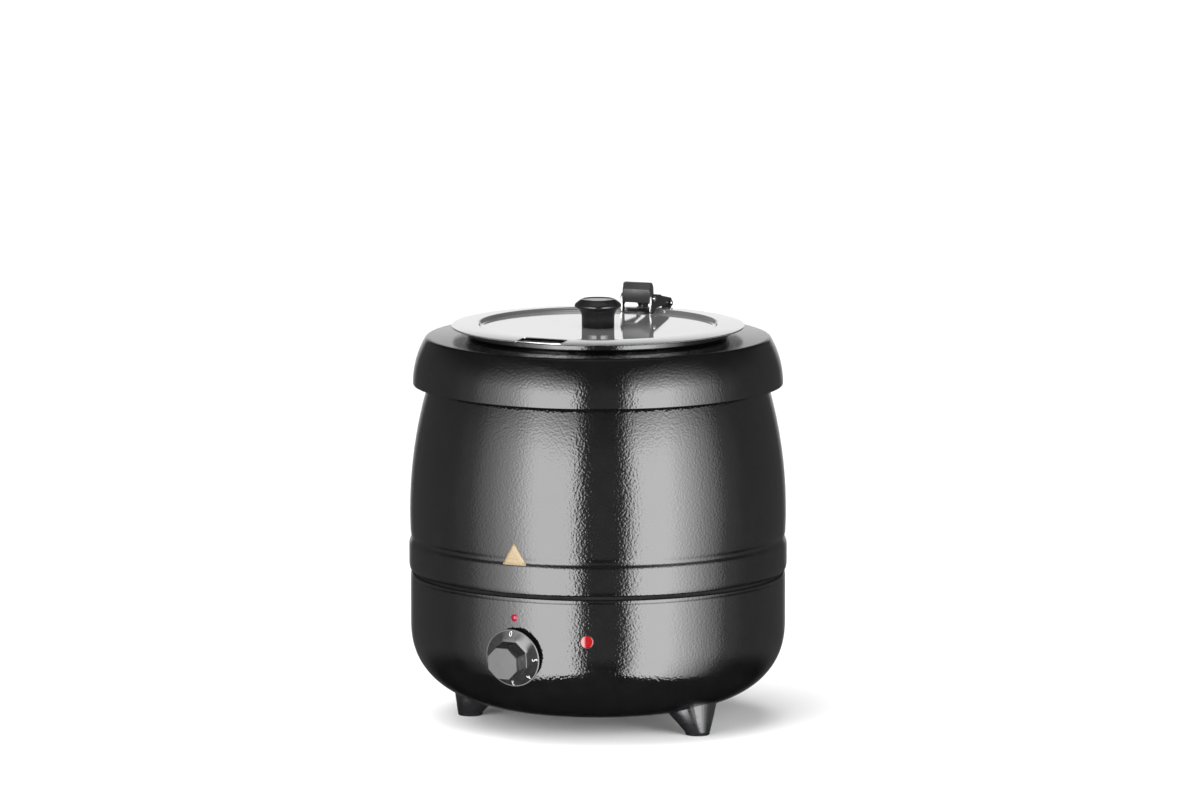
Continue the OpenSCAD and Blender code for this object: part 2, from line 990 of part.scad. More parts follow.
module lid_pan() {
    hem_r = 0.75;
    hem_z = panel_z + 1.25;
    path = concat(
        [[0, panel_z]],
        bend([panel_r, panel_z], [panel_r + 2.2, panel_z], [panel_r + 3, panel_z + 1.6]),
        bend([crest_r - 2.4, crest_z - 1], [crest_r - 1.6, crest_z], [crest_r + 0.6, crest_z]),
        [[lid_r - hem_r, hem_z + hem_r]]
    );
    round_r = 4;
    color(steel)
        difference() {
            union() {
                spun(path, -steel_t);
                rotate_extrude()
                    translate([lid_r - hem_r, hem_z])
                        circle(r = hem_r, $fn = 24);
            }
            rotate([0, 0, notch_turn])
                hull() {
                    translate([-notch_w / 2, -lid_r - 10, 350])
                        cube([notch_w, 10, 30]);
                    for (x = [round_r - notch_w / 2, notch_w / 2 - round_r])
                        translate([x, -crest_r - 2 - round_r, 350])
                            cylinder(h = 30, r = round_r, $fn = 48);
                }
            for (x = [-7, 7])
                translate([x, rivet_y, 350])
                    cylinder(h = 30, r = rivet_r);
            translate([0, 0, 350])
                cylinder(h = 30, r = 2.5);
        }
}

// The cheek's lower edge runs at the height of arm between its post and the hinge
module cheek_outline(arm) {
    difference() {
        union() {
            polygon([
                [bracket_front, panel_z], [bracket_front + 0.6, lever_z + 1.6],
                [bracket_front + 2.4, 380.6], [bracket_front + 5, 381],
                [hinge_y + 0.5, hinge_z + 5], [hinge_y - 4, hinge_z - 3],
                [137.5, arm], [web_end + 2, arm],
                [web_end, arm - 1.8], [web_end, panel_z]
            ]);
            translate([hinge_y, hinge_z])
                circle(r = 5, $fn = 48);
        }
        translate([hinge_y, hinge_z])
            circle(r = pin_r + running, $fn = 48);
        translate([lever_y, lever_z])
            circle(r = pin_r, $fn = 48);
    }
}

// Folded sheet: two cheeks and a foot on the lid's middle. The left cheek is a slimmer arm.
module lid_bracket() {
    color([0.05, 0.05, 0.05])
        difference() {
            union() {
                for (side = [[-cheek_out, 371.5], [cheek_gap / 2, 366.8]])
                    translate([side[0], 0, 0])
                        rotate([90, 0, 90])
                            linear_extrude(height = cheek_t)
                                cheek_outline(side[1]);
                translate([-cheek_gap / 2 - eps, bracket_front, panel_z])
                    cube([cheek_gap + 2 * eps, web_end - bracket_front, web_t]);
            }
            for (x = [-7, 7])
                translate([x, rivet_y, panel_z - 1]) {
                    cylinder(h = web_t + 2, r = rivet_r);
                    translate([0, 0, 1])
                        cylinder(h = web_t, r1 = rivet_r, r2 = rivet_r + 1);
                }
        }
}

module bracket_rivets() {
    color(zinc)
        for (x = [-7, 7])
            translate([x, rivet_y, 0]) {
                translate([0, 0, panel_z - steel_t - 1])
                    cylinder(h = steel_t + 1 + web_t, r = rivet_r);
                translate([0, 0, panel_z])
                    cylinder(h = web_t, r1 = rivet_r, r2 = rivet_r + 0.95);
                translate([0, 0, panel_z - steel_t - 1])
                    cylinder(h = 1, r1 = 1.9, r2 = 2.8);
            }
}

module lever_pin() {
    color(zinc)
        domed_pin(lever_y, lever_z, cheek_out, 2.7, 2.2);
}

module lid_knob() {
    neck_base = 14.9;
    neck = panel_z + 14.6;
    path = concat(
        [[0, panel_z], [neck_base, panel_z]],
        bend([neck_base, panel_z + 8], [neck_base, neck], [knob_r - 1.8, neck + 3.2], 8),
        bend([knob_r - 0.4, neck + 4], [knob_r + 0.2, neck + 5.8], [knob_r - 1.4, neck + 7.4]),
        bend([knob_r - 3.4, neck + 9], [15.6, panel_z + knob_h], [14.4, panel_z + knob_h]),
        [[0, panel_z + knob_h]]
    );
    color(phenolic)
        difference() {
            rotate_extrude()
                polygon(path);
            translate([0, 0, panel_z - 1])
                cylinder(h = 15, r = 2.5);
        }
}

module knob_screw() {
    color(zinc) {
        translate([0, 0, panel_z - steel_t - eps])
            cylinder(h = 12, r = 2.5);
        translate([0, 0, panel_z - steel_t - 2.4])
            cylinder(h = 2.4, r1 = 3.4, r2 = 4.4);
    }
}

// ---- Lever ----

module release_lever() {
    tail_w = 10;
    color([0.11, 0.11, 0.115])
        difference() {
            union() {
                translate([-lever_w / 2, 0, 0])
                    rotate([90, 0, 90])
                        linear_extrude(height = lever_w)
                            polygon([
                                [bracket_front + 0.4, 372.6], [bracket_front, 385.2],
                                [bracket_front + 0.9, 385.8], [bracket_front + 2.6, 390.6],
                                [104, 391], [108, 387], [109, 379], [108, 373.6], [106, 372.6]
                            ]);
                translate([-tail_w / 2, 0, 0])
                    rotate([90, 0, 90])
                        linear_extrude(height = tail_w)
                            polygon([
                                [106, 380.4], [106, 374.4], [138, 369.9], [149.8, 369.9], [149.8, 366.2],
                                [152, 366.2], [152, 372], [150, 374], [138, 374.6]
                            ]);
            }
            along_x(lever_y, lever_z, -20, 20, pin_r + running);
            translate([6, lever_y - 4.4, lever_z - 4.6])
                cube([4.8, 12, 9.2]);
        }
}

module lever_spring() {
    wire_r = 0.4;
    coil_r = 3.3;
    turns = 4;
    per_turn = 14;
    coil = [
        for (i = [0:turns * per_turn])
            let (a = 360 * i / per_turn)
                [
                    6.9 + 3 * i / (turns * per_turn),
                    lever_y + coil_r * cos(a),
                    lever_z + coil_r * sin(a)
                ]
    ];
    color(zinc)
        tube_along(coil, wire_r, 6);
}

base_pan();
barrel_shell();
seam_ring();
top_ring();
water_tank();
heat_plate();
heating_element();
element_clamp();
heat_shield();
stud_nuts();
tie_rods();
tie_nuts();
foot_left();
foot_right();
foot_rear();
foot_pads();
base_cover();
cover_screws();
thermostat();
thermostat_screws();
sensor_bulb();
bulb_clips();
capillary_tube();
thermal_cutout();
terminal_block();
wiring();
earth_stud();
cable_gland();
gland_nut();
lamp_bezel();
lamp_lens();
lamp_body();
lamp_clip();
dial_marker();
heat_patch();
dial();
thermostat_shaft();
dial_clip();
at_pot() inner_pot();
at_pot() hinge_clamp();
at_pot() hinge_pin();
at_pot() lid_pan();
at_pot() lid_bracket();
at_pot() bracket_rivets();
at_pot() lever_pin();
at_pot() lid_knob();
at_pot() knob_screw();
at_pot() release_lever();
at_pot() lever_spring();
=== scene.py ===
import json
import math

import bpy
from mathutils import Matrix, Vector


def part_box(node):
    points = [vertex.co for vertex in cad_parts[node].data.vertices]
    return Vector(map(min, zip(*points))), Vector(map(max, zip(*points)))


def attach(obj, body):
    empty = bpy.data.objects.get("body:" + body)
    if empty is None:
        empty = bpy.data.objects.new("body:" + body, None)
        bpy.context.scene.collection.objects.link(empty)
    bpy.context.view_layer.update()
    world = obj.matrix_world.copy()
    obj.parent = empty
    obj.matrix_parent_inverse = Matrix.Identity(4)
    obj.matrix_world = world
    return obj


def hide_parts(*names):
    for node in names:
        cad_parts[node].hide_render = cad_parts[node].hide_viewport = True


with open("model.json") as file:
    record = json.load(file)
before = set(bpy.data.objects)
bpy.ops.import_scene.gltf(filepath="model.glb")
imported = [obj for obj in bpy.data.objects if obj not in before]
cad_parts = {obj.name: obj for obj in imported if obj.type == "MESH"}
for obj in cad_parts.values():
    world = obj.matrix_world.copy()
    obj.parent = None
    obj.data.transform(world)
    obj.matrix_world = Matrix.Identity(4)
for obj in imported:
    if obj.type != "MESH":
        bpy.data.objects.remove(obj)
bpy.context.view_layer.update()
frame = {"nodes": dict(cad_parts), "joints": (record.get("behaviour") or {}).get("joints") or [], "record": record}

# Soup kettle: finer shells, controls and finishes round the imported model. Metres, Z up, front at -Y.

MM = 0.001
NODES = frame["nodes"]
JOINTS = {joint["name"]: joint for joint in frame["joints"]}
SLOT_OF = {row["node"]: row["material_slot"] for row in frame["record"]["subparts"]}


# ---- Outlines, in metres, as (radius, height) pairs ----

def unit(v):
    length = math.hypot(*v)
    return (v[0] / length, v[1] / length)


def left_of(a, b):
    """The direction to the left of the way from a to b."""
    d = unit((b[0] - a[0], b[1] - a[1]))
    return (-d[1], d[0])


def inset(path, t):
    """The path moved by t to its left, with mitred corners."""
    out = []
    last = len(path) - 1
    for i, p in enumerate(path):
        before = left_of(path[i - 1], p) if i else left_of(p, path[1])
        after = left_of(p, path[i + 1]) if i < last else before
        m = unit((before[0] + after[0], before[1] + after[1]))
        grow = t / (m[0] * before[0] + m[1] * before[1])
        out.append((p[0] + m[0] * grow, p[1] + m[1] * grow))
    return out


def bend(a, b, c, steps=8):
    """A smooth turn from a to c that aims at b."""
    points = []
    for i in range(steps + 1):
        u = i / steps
        points.append(tuple((1 - u) ** 2 * a[k] + 2 * u * (1 - u) * b[k] + u * u * c[k] for k in (0, 1)))
    return points


def arc(centre, radius, start, end, steps):
    """Points along a circle, from one angle to another."""
    points = []
    for i in range(steps + 1):
        a = start + (end - start) * i / steps
        points.append((centre[0] + radius * math.cos(a), centre[1] + radius * math.sin(a)))
    return points


def rounded_end(a, b):
    """Half a circle from a to b, bulging to the right of the way from a to b."""
    steps = 4
    middle = ((a[0] + b[0]) / 2, (a[1] + b[1]) / 2)
    along = ((a[0] - b[0]) / 2, (a[1] - b[1]) / 2)
    out = (-along[1], along[0])
    points = []
    for i in range(1, steps):
        angle = math.pi * i / steps
        points.append(tuple(
            middle[k] + along[k] * math.cos(angle) + out[k] * math.sin(angle) for k in (0, 1)))
    return points


def sheet_loop(path, t):
    """Closed outline of sheet metal. The path is its outer face, and its free ends are rounded."""
    inner = inset(path, t)
    loop = list(path)
    if path[-1][0] > 0:
        loop += rounded_end(path[-1], inner[-1])
    loop += reversed(inner)
    if path[0][0] > 0:
        loop += rounded_end(inner[0], path[0])
    return loop


# ---- Meshes ----

ON_AXIS = 1e-7


def add(name, data):
    """A new object in the scene."""
    thing = bpy.data.objects.new(name, data)
    bpy.context.scene.collection.objects.link(thing)
    return thing


def new_mesh(name, verts, faces):
    mesh = bpy.data.meshes.new(name)
    mesh.from_pydata(verts, [], faces)
    mesh.validate()
    mesh.update()
    return mesh


def evaluated_mesh(thing):
    """The thing's mesh once its modifiers or its text are worked out."""
    bpy.context.view_layer.update()
    return bpy.data.meshes.new_from_object(thing.evaluated_get(bpy.context.evaluated_depsgraph_get()))


def smooth(mesh, sharp):
    """Smooth shading, except over edges sharper than so many degrees."""
    mesh.polygons.foreach_set("use_smooth", [True] * len(mesh.polygons))
    mesh.set_sharp_from_angle(angle=math.radians(sharp))


def new_piece(name, verts, faces, body, slot, stands_for, sharp):
    piece = add(name, new_mesh(name, verts, faces))
    smooth(piece.data, sharp)
    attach(piece, body)
    if stands_for:
        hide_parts(*stands_for)
    piece.data.materials.append(MATERIALS[slot])
    return piece


def spin(name, loop, body, slot, stands_for=(), segments=256, sharp=38):
    """Turns a closed outline about the kettle's axis. Points on the axis are shared."""
    verts = []
    rings = []
    for r, z in loop:
        if r < ON_AXIS:
            rings.append([len(verts)] * segments)
            verts.append((0, 0, z))
            continue
        rings.append(list(range(len(verts), len(verts) + segments)))
        for k in range(segments):
            a = 2 * math.pi * k / segments
            verts.append((r * math.cos(a), r * math.sin(a), z))
    faces = []
    for i, ring in enumerate(rings):
        other = rings[(i + 1) % len(rings)]
        if ring[0] == ring[1] and other[0] == other[1]:
            continue
        for k in range(segments):
            n = (k + 1) % segments
            corners = [ring[k], ring[n], other[n], other[k]]
            faces.append(tuple(dict.fromkeys(corners)))
    return new_piece(name, verts, faces, body, slot, stands_for, sharp)


def cut(piece, cutter):
    """Takes the cutter's shape out of the piece for good."""
    change = piece.modifiers.new("cut", "BOOLEAN")
    change.operation = "DIFFERENCE"
    change.solver = "EXACT"
    change.object = cutter
    mesh = evaluated_mesh(piece)
    piece.modifiers.clear()
    piece.data = mesh
    bpy.data.objects.remove(cutter)


# ---- Shells ----

BASE_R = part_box("base_pan")[1][0]
BASE_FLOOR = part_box("base_pan")[0][2]
BASE_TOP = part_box("base_pan")[1][2]
BAND_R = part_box("barrel_shell")[1][0]
BARREL_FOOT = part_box("barrel_shell")[0][2]
SKIRT_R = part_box("top_ring")[1][0]
SKIRT_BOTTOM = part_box("top_ring")[0][2]
NECK_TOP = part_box("top_ring")[1][2]
SHEET_T = 0.8 * MM
STEEL_T = 0.6 * MM
NECK_R = 118.1 * MM
NECK_FOOT_Z = 356.2 * MM
TOP_EDGE_R = 153.5 * MM
TOP_EDGE_Z = 354.7 * MM
TOP_SLOPE = (NECK_FOOT_Z - TOP_EDGE_Z) / (TOP_EDGE_R - NECK_R)


def ring_top(r):
    """Height of the top ring's gently sloping face at a radius."""
    return TOP_EDGE_Z + (TOP_EDGE_R - r) * TOP_SLOPE


def ring_under(r):
    """Height just under the top ring's sheet at a radius."""
    clearance = 0.02 * MM
    return ring_top(r) - SHEET_T - clearance


def make_base_pan():
    opening_r = 42 * MM
    bowl_r = 101.9 * MM
    bowl_z = 92.5 * MM
    bowl_depth = bowl_z - BASE_FLOOR
    fullness = 2 / 2.3
    steps = 72
    lip_r = BASE_R - 0.1 * MM
    path = [(opening_r, BASE_FLOOR), (BASE_R - bowl_r, BASE_FLOOR)]
    for i in range(1, steps + 1):
        a = math.pi / 2 * (1 - i / steps)
        path.append((
            BASE_R - bowl_r + bowl_r * math.cos(a) ** fullness,
            bowl_z - bowl_depth * math.sin(a) ** fullness))
    path += [(BASE_R, BASE_TOP - 4.2 * MM)]
    path += bend((BASE_R, BASE_TOP - 4.0 * MM), (BASE_R - 0.5 * MM, BASE_TOP - 3.6 * MM),
                 (lip_r, BASE_TOP - 3.1 * MM))
    path += bend((lip_r, BASE_TOP - 1.2 * MM), (lip_r, BASE_TOP - 0.1 * MM), (BASE_R - 1.0 * MM, BASE_TOP))
    spin("base_pan_shell", sheet_loop(path, SHEET_T), "kettle", "hammertone_black", ["base_pan"])


def make_barrel():
    """A raised band at the foot, a crease, a side that is one wide arc, and a shoulder turned inwards."""
    curve_r = 410 * MM
    curve_centre = -238.4 * MM
    widest_z = 195 * MM
    band_top = 162.5 * MM
    crease_z = 174.5 * MM
    side_from = 176 * MM
    side_to = 345 * MM
    shoulder_r = 140.2 * MM
    inner_edge_r = 134 * MM
    steps = 60

    def side(z):
        return curve_centre + math.sqrt(curve_r ** 2 - (z - widest_z) ** 2)

    foot = BARREL_FOOT
    path = bend((BASE_R - 0.2 * MM, foot), (BAND_R, foot + 0.4 * MM), (BAND_R, foot + 8 * MM), 12)
    path += [(BAND_R, band_top)]
    path += bend((BAND_R, band_top + 1 * MM), (BAND_R, band_top + 4 * MM),
                 (BAND_R - 1.1 * MM, band_top + 5.9 * MM))
    path += bend((BAND_R - 1.6 * MM, band_top + 6.9 * MM), (BAND_R - 2.6 * MM, band_top + 8.7 * MM),
                 (side(crease_z) - 0.1 * MM, crease_z))
    for i in range(steps + 1):
        z = side_from + (side_to - side_from) * i / steps
        path.append((side(z), z))
    turned_in = shoulder_r - 1.7 * MM
    path += bend((shoulder_r + 1.8 * MM, side_to + 4.5 * MM), (shoulder_r, ring_under(shoulder_r)),
                 (turned_in, ring_under(turned_in)))
    path += [(inner_edge_r, ring_under(inner_edge_r))]
    spin("barrel_skin", sheet_loop(path, SHEET_T), "kettle", "hammertone_black", ["barrel_shell"])


def make_top_ring():
    """A curved skirt, a nearly flat top and an upright neck."""
    curve_r = 81 * MM
    skirt_turn = math.radians(30.4)
    corner_r = 156.3 * MM
    neck_bend = 2 * MM
    foot = (SKIRT_R - curve_r, SKIRT_BOTTOM + 0.4 * MM)
    skirt = arc(foot, curve_r, 0, skirt_turn, 48)
    edge = (TOP_EDGE_R, TOP_EDGE_Z)
    path = [(SKIRT_R, SKIRT_BOTTOM)] + skirt[:-1]
    path += bend(skirt[-1], (corner_r, TOP_EDGE_Z - 0.2 * MM), edge, 12)
    path += bend((NECK_R + neck_bend, ring_top(NECK_R + neck_bend)), (NECK_R, NECK_FOOT_Z),
                 (NECK_R, NECK_FOOT_Z + neck_bend))
    path += [(NECK_R, NECK_TOP)]
    spin("top_ring_skin", sheet_loop(path, SHEET_T), "kettle", "hammertone_black", ["top_ring"])


def make_pot():
    """A deep pan whose edge turns out over the neck and ends in a rolled bead."""
    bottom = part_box("inner_pot")[0][2]
    r = 113.4 * MM
    corner = 16 * MM
    rim_bend = 2 * MM
    bead = 1.3 * MM
    bead_r = 120.1 * MM
    bead_z = NECK_TOP + STEEL_T - bead
    path = [(0, bottom)]
    path += bend((r - corner, bottom), (r, bottom), (r, bottom + corner), 16)
    path += bend((r, NECK_TOP - rim_bend), (r, NECK_TOP), (r + rim_bend, NECK_TOP))
    under = (bead_r - 1.0 * MM, NECK_TOP)
    over = inset(path + [under], STEEL_T)
    start = math.atan2(under[1] - bead_z, under[0] - bead_r)
    roll = arc((bead_r, bead_z), bead, start, 2.5 * math.pi, 20)
    loop = path + roll + list(reversed(over[:-1]))
    spin("inner_pot_skin", loop, "pot", "satin_steel", ["inner_pot"])


def make_tank():
    """The water tank, and the stud under it that holds the heat plate."""
    bottom = 91 * MM
    r = 128 * MM
    corner = 4 * MM
    flange_r = 132.6 * MM
    stud_r = 4 * MM
    chamfer = 0.6 * MM
    stud_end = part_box("water_tank")[0][2]
    path = [(0, bottom)]
    path += bend((r - corner, bottom), (r, bottom), (r, bottom + corner))
    path += [(r, ring_under(r) - STEEL_T), (flange_r, ring_under(flange_r) - STEEL_T)]
    spin("water_tank_skin", sheet_loop(path, STEEL_T), "kettle", "satin_steel", ["water_tank"])
    stud = [(0, stud_end), (stud_r - chamfer, stud_end), (stud_r, stud_end + chamfer)]
    stud += [(stud_r, bottom), (0, bottom)]
    spin("tank_stud", stud, "kettle", "zinc_steel", segments=48)


# ---- Lid ----

PANEL_Z = 362.7 * MM
CREST_Z = 366.2 * MM
CREST_R = 111 * MM
LID_R = 133.5 * MM
HINGE_AT = JOINTS["lid_hinge"]["pos_m"]
POT_TURN = math.atan2(-HINGE_AT[0], HINGE_AT[1])
NOTCH_TURN = POT_TURN - math.radians(3.2)


def make_lid():
    """A flat panel, a step up to a crest, and a rim that slopes down to a rolled hem."""
    panel_r = 105 * MM
    hem = 0.75 * MM
    hem_r = LID_R - hem
    hem_z = PANEL_Z + 1.25 * MM
    hem_turn = 2 * math.pi * 0.8
    path = [(r * MM, PANEL_Z) for r in (0, 40, 80)]
    path += bend((panel_r, PANEL_Z), (panel_r + 2.2 * MM, PANEL_Z), (panel_r + 3 * MM, PANEL_Z + 1.6 * MM))
    path += bend((CREST_R - 2.4 * MM, CREST_Z - 1 * MM), (CREST_R - 1.6 * MM, CREST_Z),
                 (CREST_R + 0.6 * MM, CREST_Z))
    under = inset(path + [(hem_r, hem_z + hem)], -STEEL_T)
    roll = arc((hem_r, hem_z), hem, math.pi / 2, math.pi / 2 - hem_turn, 18)
    loop = list(reversed(path + roll)) + under[:-1]
    lid = spin("lid_skin", loop, "lid", "polished_steel", ["lid_pan"], segments=384)
    cut(lid, notch_cutter())
    smooth(lid.data, 30)
    return lid


def notch_cutter():
    """A block with rounded inner corners, for the ladle's notch at the front."""
    half = 22 * MM
    corner = 4 * MM
    past = 10 * MM
    inner = -CREST_R - 2 * MM
    outer = -LID_R - past
    outline = [(-half, outer)]
    outline += arc((corner - half, inner - corner), corner, math.pi, math.pi / 2, 10)
    outline += arc((half - corner, inner - corner), corner, math.pi / 2, 0, 10)
    outline.append((half, outer))
    c, s = math.cos(NOTCH_TURN), math.sin(NOTCH_TURN)
    outline = [(x * c - y * s, x * s + y * c) for x, y in outline]
    count = len(outline)
    low, high = PANEL_Z - past, CREST_Z + past
    verts = [(x, y, low) for x, y in outline] + [(x, y, high) for x, y in outline]
    faces = [tuple(range(count)), tuple(reversed(range(count, 2 * count)))]
    faces += [(i, i + count, (i + 1) % count + count, (i + 1) % count) for i in range(count)]
    return add("notch_cutter", new_mesh("notch_cutter", verts, faces))


def make_lid_knob():
    """A waisted stem under a wide rounded cap with a shallow dish in its top."""
    z = PANEL_Z
    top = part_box("lid_knob")[1][2]
    cap_r = 21.6 * MM
    stem_r = 14.9 * MM
    dish_r = 14.0 * MM
    dish_z = top - 0.6 * MM
    neck = z + 14.6 * MM
    path = [(0, z), (stem_r - 0.5 * MM, z), (stem_r, z + 0.5 * MM)]
    path += bend((stem_r, z + 8 * MM), (stem_r, neck), (cap_r - 1.8 * MM, neck + 3.2 * MM), 20)
    path += bend((cap_r - 0.4 * MM, neck + 4 * MM), (cap_r + 0.2 * MM, neck + 5.8 * MM),
                 (cap_r - 1.4 * MM, neck + 7.4 * MM), 10)
    path += bend((cap_r - 3.4 * MM, neck + 9 * MM), (dish_r + 1.6 * MM, top), (dish_r + 0.4 * MM, top), 8)
    path += [(dish_r, top - 0.3 * MM), (9 * MM, top - 0.5 * MM), (4 * MM, dish_z), (0, dish_z)]
    spin("lid_knob_skin", path, "lid", "phenolic_black", ["lid_knob"], segments=160, sharp=50)


# ---- Dial ----

DIAL_AT = Vector(JOINTS["dial_turn"]["pos_m"])
DIAL_OUT = -Vector(JOINTS["dial_turn"]["axis"]).normalized()
DIAL_RIGHT = Vector((1, 0, 0))
DIAL_UP = DIAL_OUT.cross(DIAL_RIGHT)
DIAL_BACK_Z = 2.5 * MM
DIAL_TIP_Z = 24.6 * MM
# The numbered cone, from its outer edge in to the foot of the grip
CONE_R = 25.3 * MM
CONE_Z = 4.0 * MM
CONE_RUN = 9.13 * MM
CONE_RISE = 4.6 * MM


def eight_sided(angle):
    """Radius of a soft-cornered octagon of apothem 1 at that angle, with a flat at angle 0."""
    power = 90
    total = sum(max(0, math.cos(angle - k * math.pi / 4)) ** power for k in range(8))
    return total ** (-1 / power)


def make_dial():
    # Each layer: height in mm, radius or apothem in mm, and how eight-sided it is
    layers = [
        (2.5, 9.0, 0), (2.5, 26.0, 0), (2.9, 26.5, 0), (3.7, 26.5, 0), (3.95, 26.3, 0), (4.0, 25.9, 0),
        (4.0, 25.4, 0), (4.15, 25.1, 0),
        (5.6, 22.2, 0.33), (7.1, 19.2, 0.67), (8.5, 16.4, 1), (8.6, 16.1, 1), (8.8, 15.9, 1),
        (16.5, 15.3, 1), (23.9, 14.75, 1), (24.3, 14.55, 1), (24.6, 14.1, 1), (24.6, 8.0, 1),
    ]
    segments = 240
    verts = []
    for height, radius, eight in layers:
        for k in range(segments):
            a = 2 * math.pi * k / segments
            r = radius * MM * (1 - eight + eight * eight_sided(a))
            p = DIAL_AT + DIAL_OUT * height * MM + r * (math.cos(a) * DIAL_RIGHT + math.sin(a) * DIAL_UP)
            verts.append(tuple(p))
    back, tip = len(verts), len(verts) + 1
    verts.append(tuple(DIAL_AT + DIAL_OUT * DIAL_BACK_Z))
    verts.append(tuple(DIAL_AT + DIAL_OUT * DIAL_TIP_Z))
    top = (len(layers) - 1) * segments
    faces = []
    for k in range(segments):
        n = (k + 1) % segments
        for low in range(0, top, segments):
            faces.append((low + k, low + n, low + segments + n, low + segments + k))
        faces.append((back, n, k))
        faces.append((tip, top + k, top + n))
    new_piece("dial_skin", verts, faces, "heat_dial", "phenolic_black", ["dial"], 24)


def text_mesh(text, size, thickness, thinner):
    curve = bpy.data.curves.new("digit_" + text, "FONT")
    curve.body = text
    curve.size = size
    curve.align_x = "CENTER"
    curve.align_y = "CENTER"
    curve.extrude = thickness
    curve.resolution_u = 6
    curve.offset = -thinner
    letter = add("digit_outline", curve)
    mesh = evaluated_mesh(letter)
    bpy.data.objects.remove(letter)
    return mesh


def make_digits():
    """White numbers on the dial's eight-sided cone, each on its own flat, running anticlockwise."""
    places = {"0": 0, "1": 90, "2": 135, "3": 180, "4": 225, "5": 270}
    narrow = 0.82
    lift = 0.06 * MM
    share = 0.3
    for text, turn in places.items():
        mesh = text_mesh(text, size=7.2 * MM, thickness=0.05 * MM, thinner=0.11 * MM)
        a = math.radians(turn)
        away = DIAL_UP * math.cos(a) - DIAL_RIGHT * math.sin(a)
        down = (away * CONE_RUN - DIAL_OUT * CONE_RISE).normalized()
        out = (away * CONE_RISE + DIAL_OUT * CONE_RUN).normalized()
        place = Matrix((down.cross(out) * narrow, down, out)).transposed().to_4x4()
        place.translation = (DIAL_AT + away * (CONE_R - CONE_RUN * share)
                             + DIAL_OUT * (CONE_Z + CONE_RISE * share) + out * lift)
        mesh.transform(place)
        piece = add("dial_digit_" + text, mesh)
        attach(piece, "heat_dial")
        piece.data.materials.clear()
        piece.data.materials.append(MATERIALS["dial_print"])


# ---- Shader nodes ----

def grey(level):
    return (level, level, level)


def new_material(name, colour, metallic=0.0, roughness=0.4):
    material = bpy.data.materials.new(name)
    material.use_nodes = True
    tree = material.node_tree
    shader = tree.nodes["Principled BSDF"]
    shader.inputs["Base Color"].default_value = (*colour, 1)
    shader.inputs["Metallic"].default_value = metallic
    shader.inputs["Roughness"].default_value = roughness
    return material, tree, shader


def coordinates(tree, stretch=(1, 1, 1)):
    where = tree.nodes.new("ShaderNodeTexCoord")
    scale = tree.nodes.new("ShaderNodeMapping")
    scale.inputs["Scale"].default_value = stretch
    tree.links.new(where.outputs["Object"], scale.inputs["Vector"])
    return scale.outputs["Vector"]


def noise(tree, vector, scale, detail=2.0, rough=0.5):
    node = tree.nodes.new("ShaderNodeTexNoise")
    node.inputs["Scale"].default_value = scale
    node.inputs["Detail"].default_value = detail
    node.inputs["Roughness"].default_value = rough
    tree.links.new(vector, node.inputs["Vector"])
    return node.outputs["Fac"]


def spread(tree, value, low, high, from_low=0.3, from_high=0.7):
    """Maps a value, as a rule a noise, onto low to high."""
    node = tree.nodes.new("ShaderNodeMapRange")
    node.inputs["From Min"].default_value = from_low
    node.inputs["From Max"].default_value = from_high
    node.inputs["To Min"].default_value = low
    node.inputs["To Max"].default_value = high
    tree.links.new(value, node.inputs["Value"])
    return node.outputs["Result"]


def maths(tree, operation, first, second=None):
    node = tree.nodes.new("ShaderNodeMath")
    node.operation = operation
    for i, value in enumerate((first, second)):
        if value is None:
            continue
        if isinstance(value, (int, float)):
            node.inputs[i].default_value = value
        else:
            tree.links.new(value, node.inputs[i])
    return node.outputs[0]


def two_tone(tree, shader, pattern, dark, light):
    """Colours the surface between two tones, by the pattern, and gives the ramp between them."""
    ramp = tree.nodes.new("ShaderNodeValToRGB")
    for mark, place, colour in zip(ramp.color_ramp.elements, (0.3, 0.7), (dark, light)):
        mark.position = place
        mark.color = (*colour, 1)
    tree.links.new(pattern, ramp.inputs["Fac"])
    tree.links.new(ramp.outputs["Color"], shader.inputs["Base Color"])
    return ramp.color_ramp


def uneven_gloss(tree, shader, pattern, low, high):
    """Sets the surface's roughness between low and high, by the pattern."""
    tree.links.new(spread(tree, pattern, low, high), shader.inputs["Roughness"])


def bump(tree, shader, height, depth):
    node = tree.nodes.new("ShaderNodeBump")
    node.inputs["Strength"].default_value = 1.0
    node.inputs["Distance"].default_value = depth
    tree.links.new(height, node.inputs["Height"])
    tree.links.new(node.outputs["Normal"], shader.inputs["Normal"])


# ---- Materials ----

def hammertone():
    """Powder coat with a fine skin of soft dimples."""
    material, tree, shader = new_material("hammertone_black", grey(0.002), 0, 0.07)
    where = coordinates(tree)
    dimples = noise(tree, where, 500, 1.0, 0.4)
    bump(tree, shader, dimples, 0.16 * MM)
    uneven_gloss(tree, shader, noise(tree, where, 30, 3), 0.06, 0.085)
    dark, light = (0.0017, 0.0017, 0.0018), (0.0024, 0.0024, 0.0025)
    two_tone(tree, shader, noise(tree, where, 60, 3), dark, light)
    return material


def plain(name, colour, roughness, metallic, grain, depth, vary, gloss=0.5):
    """A finish with slightly uneven colour and gloss, and a fine grain."""
    material, tree, shader = new_material(name, colour, metallic, roughness)
    where = coordinates(tree)
    shader.inputs["Specular IOR Level"].default_value = gloss
    dark = tuple(c * (1 - vary) for c in colour)
    light = tuple(min(1, c * (1 + vary)) for c in colour)
    two_tone(tree, shader, noise(tree, where, 45, 4), dark, light)
    uneven_gloss(tree, shader, noise(tree, where, 120, 3), roughness * 0.8, min(1, roughness * 1.2))
    bump(tree, shader, noise(tree, where, grain, 2), depth * MM)
    return material


